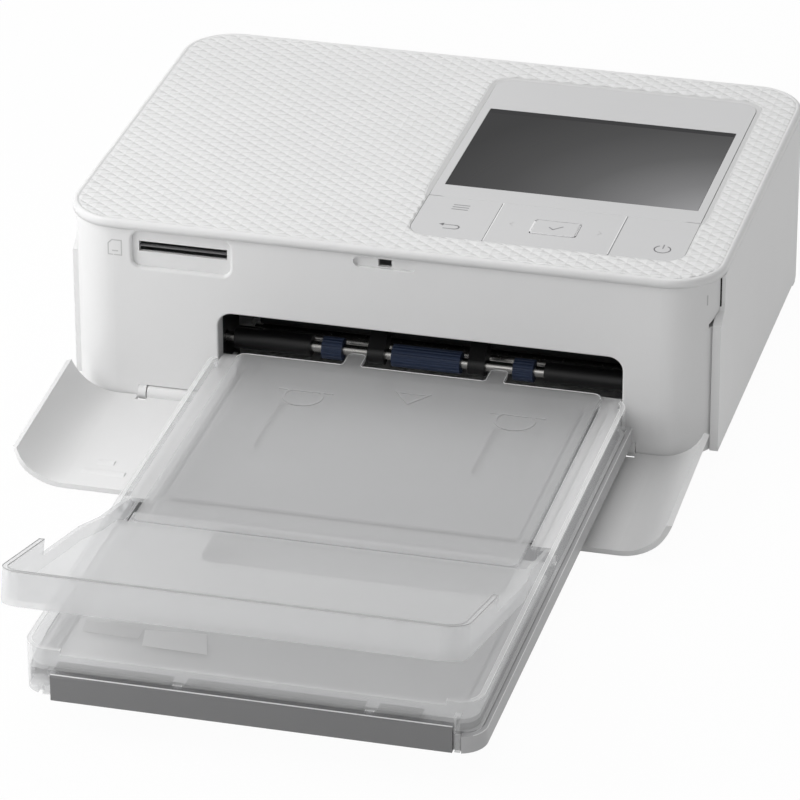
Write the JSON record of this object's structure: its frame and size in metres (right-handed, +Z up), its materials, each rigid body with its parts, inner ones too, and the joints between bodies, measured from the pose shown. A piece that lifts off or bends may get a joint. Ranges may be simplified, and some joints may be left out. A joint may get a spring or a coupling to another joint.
{
  "type": "compact photo printer",
  "caption": "Compact photo printer with hinged screen panel top, opened slot cover, translucent paper cassette pushed in and its tray lid folded out.",
  "frame": {"origin": "middle of the bounding box in plan, on the table", "axes": "+X to the right across the printer as seen from its front, +Y from the cassette to the back, +Z up"},
  "size_m": [0.1822, 0.3192, 0.0576],
  "materials": {
    "body_white": "smooth satin white moulding",
    "panel_gloss": "glossy light grey",
    "screen_glass": "dark glossy screen window",
    "frosted_clear": "frosted translucent moulding",
    "cassette_grey": "matte grey moulding",
    "strip_grey": "matte mid grey moulding",
    "black_plastic": "matte black moulding",
    "blue_rubber": "ribbed dark blue rubber",
    "black_rubber": "ground black rubber",
    "grey_rubber": "soft grey rubber",
    "steel_bar": "ground steel bar",
    "sheet_steel": "zinc plated sheet",
    "cast_alloy": "extruded aluminium",
    "gear_resin": "natural acetal resin",
    "pinion_brass": "cut brass",
    "circuit_board": "green solder mask"
  },
  "bodies": {
    "housing": {"bottom_chassis": "body_white", "front_panel": "body_white", "top_cover": "body_white", "left_side_panel": "body_white", "rear_panel": "body_white", "control_panel": "panel_gloss", "lcd_window": "screen_glass", "lcd_module": "black_plastic", "key_board": "circuit_board", "navigation_membrane": "black_rubber", "card_reader": "sheet_steel", "slot_cover_pins": "steel_bar", "ink_door_pin": "steel_bar", "paper_throat": "black_plastic", "roller_beam": "black_plastic", "thermal_head": "cast_alloy", "head_support": "sheet_steel", "frame_left": "sheet_steel", "frame_right": "sheet_steel", "gear_studs": "steel_bar", "drive_motor": "sheet_steel", "motor_mount": "sheet_steel", "main_board": "circuit_board", "dc_inlet": "black_plastic", "usb_port": "sheet_steel", "rubber_feet": "grey_rubber", "case_screws": "steel_bar"},
    "menu_back": {"menu_back_key": "panel_gloss"},
    "navigation": {"navigation_key": "panel_gloss"},
    "ok": {"ok_button": "panel_gloss"},
    "power": {"power_key": "panel_gloss"},
    "cover": {"slot_cover": "body_white"},
    "door": {"ink_door": "body_white"},
    "pickup": {"pickup_shaft": "steel_bar", "center_roller": "blue_rubber", "side_rollers": "blue_rubber", "shaft_sleeves": "black_plastic", "pickup_gear": "gear_resin"},
    "capstan": {"capstan_roller": "steel_bar", "capstan_gear": "gear_resin"},
    "pinch": {"pinch_roller": "black_rubber"},
    "platen": {"platen_shaft": "steel_bar", "platen_roller": "black_rubber"},
    "idler": {"idler_gear": "gear_resin"},
    "reduction": {"reduction_gear": "gear_resin"},
    "pinion": {"motor_pinion": "pinion_brass"},
    "take_up": {"take_up_spindle": "gear_resin", "take_up_gear": "gear_resin"},
    "supply": {"supply_spindle": "gear_resin"},
    "cassette": {"cassette_base": "cassette_grey", "cassette_frame": "frosted_clear", "front_strip": "strip_grey"},
    "lift": {"paper_plate": "cassette_grey"},
    "inner": {"inner_lid": "frosted_clear"},
    "tray": {"outer_lid": "frosted_clear"}
  },
  "joints": [
    {"name": "cassette_slide", "type": "slide", "parent": "housing", "child": "cassette", "axis": [0, -1, 0], "range_m": [0, 0.04]},
    {"name": "tray_lid_hinge", "type": "hinge", "parent": "cassette", "child": "tray", "pos_m": [0.0104, -0.06145, 0.0186], "axis": [-1, 0, 0], "range_deg": [0, 125]},
    {"name": "inner_lid_hinge", "type": "hinge", "parent": "cassette", "child": "inner", "pos_m": [0.0095, -0.06935, 0.0199], "axis": [1, 0, 0], "range_deg": [0, 5]},
    {"name": "lift_plate_hinge", "type": "hinge", "parent": "cassette", "child": "lift", "pos_m": [0.0095, -0.03905, 0.0108], "axis": [1, 0, 0], "range_deg": [0, 3]},
    {"name": "slot_cover_hinge", "type": "hinge", "parent": "housing", "child": "cover", "pos_m": [0, 0.02805, 0.0055], "axis": [-1, 0, 0], "range_deg": [0, 5.5]},
    {"name": "ink_door_hinge", "type": "hinge", "parent": "housing", "child": "door", "pos_m": [0.08995, 0.14555, 0.03], "axis": [0, 0, 1], "range_deg": [0, 90]},
    {"name": "menu_back_rock", "type": "hinge", "parent": "housing", "child": "menu_back", "pos_m": [0.0136, 0.05125, 0.0556], "axis": [1, 0, 0], "range_deg": [-1, 1], "stiffness_Nm_per_rad": 0.8},
    {"name": "navigation_tilt", "type": "hinge", "parent": "housing", "child": "navigation", "pos_m": [0.0416, 0.05125, 0.0556], "axis": [0, 1, 0], "range_deg": [-1, 1], "stiffness_Nm_per_rad": 0.8},
    {"name": "ok_press", "type": "slide", "parent": "housing", "child": "ok", "axis": [0, 0, -1], "range_m": [0, 0.0004], "stiffness_N_per_m": 2000},
    {"name": "power_press", "type": "slide", "parent": "housing", "child": "power", "axis": [0, 0, -1], "range_m": [0, 0.0004], "stiffness_N_per_m": 2000},
    {"name": "capstan_spin", "type": "hinge", "parent": "housing", "child": "capstan", "pos_m": [0, 0.05655, 0.013], "axis": [1, 0, 0], "continuous": true},
    {"name": "pickup_spin", "type": "hinge", "parent": "housing", "child": "pickup", "pos_m": [0, 0.03855, 0.02], "axis": [1, 0, 0], "continuous": true},
    {"name": "pinch_spin", "type": "hinge", "parent": "housing", "child": "pinch", "pos_m": [0, 0.05655, 0.0193], "axis": [1, 0, 0], "continuous": true},
    {"name": "platen_spin", "type": "hinge", "parent": "housing", "child": "platen", "pos_m": [0, 0.08355, 0.0135], "axis": [1, 0, 0], "continuous": true},
    {"name": "idler_spin", "type": "hinge", "parent": "housing", "child": "idler", "pos_m": [0, 0.05404, 0.02474], "axis": [1, 0, 0], "continuous": true},
    {"name": "reduction_spin", "type": "hinge", "parent": "housing", "child": "reduction", "pos_m": [0, 0.07187, 0.02724], "axis": [1, 0, 0], "continuous": true},
    {"name": "pinion_spin", "type": "hinge", "parent": "housing", "child": "pinion", "pos_m": [0, 0.08627, 0.02724], "axis": [1, 0, 0], "continuous": true},
    {"name": "take_up_spin", "type": "hinge", "parent": "housing", "child": "take_up", "pos_m": [0, 0.06426, 0.04355], "axis": [1, 0, 0], "continuous": true},
    {"name": "supply_spin", "type": "hinge", "parent": "housing", "child": "supply", "pos_m": [0, 0.10555, 0.04], "axis": [1, 0, 0], "continuous": true}
  ],
  "couplings": [
    {"joint": "idler_spin", "follows": "capstan_spin", "ratio": -0.66667},
    {"joint": "pickup_spin", "follows": "capstan_spin", "ratio": 0.53333},
    {"joint": "reduction_spin", "follows": "capstan_spin", "ratio": 0.44444},
    {"joint": "pinion_spin", "follows": "capstan_spin", "ratio": -1.3333},
    {"joint": "take_up_spin", "follows": "capstan_spin", "ratio": -0.66667},
    {"joint": "pinch_spin", "follows": "capstan_spin", "ratio": -1}
  ]
}
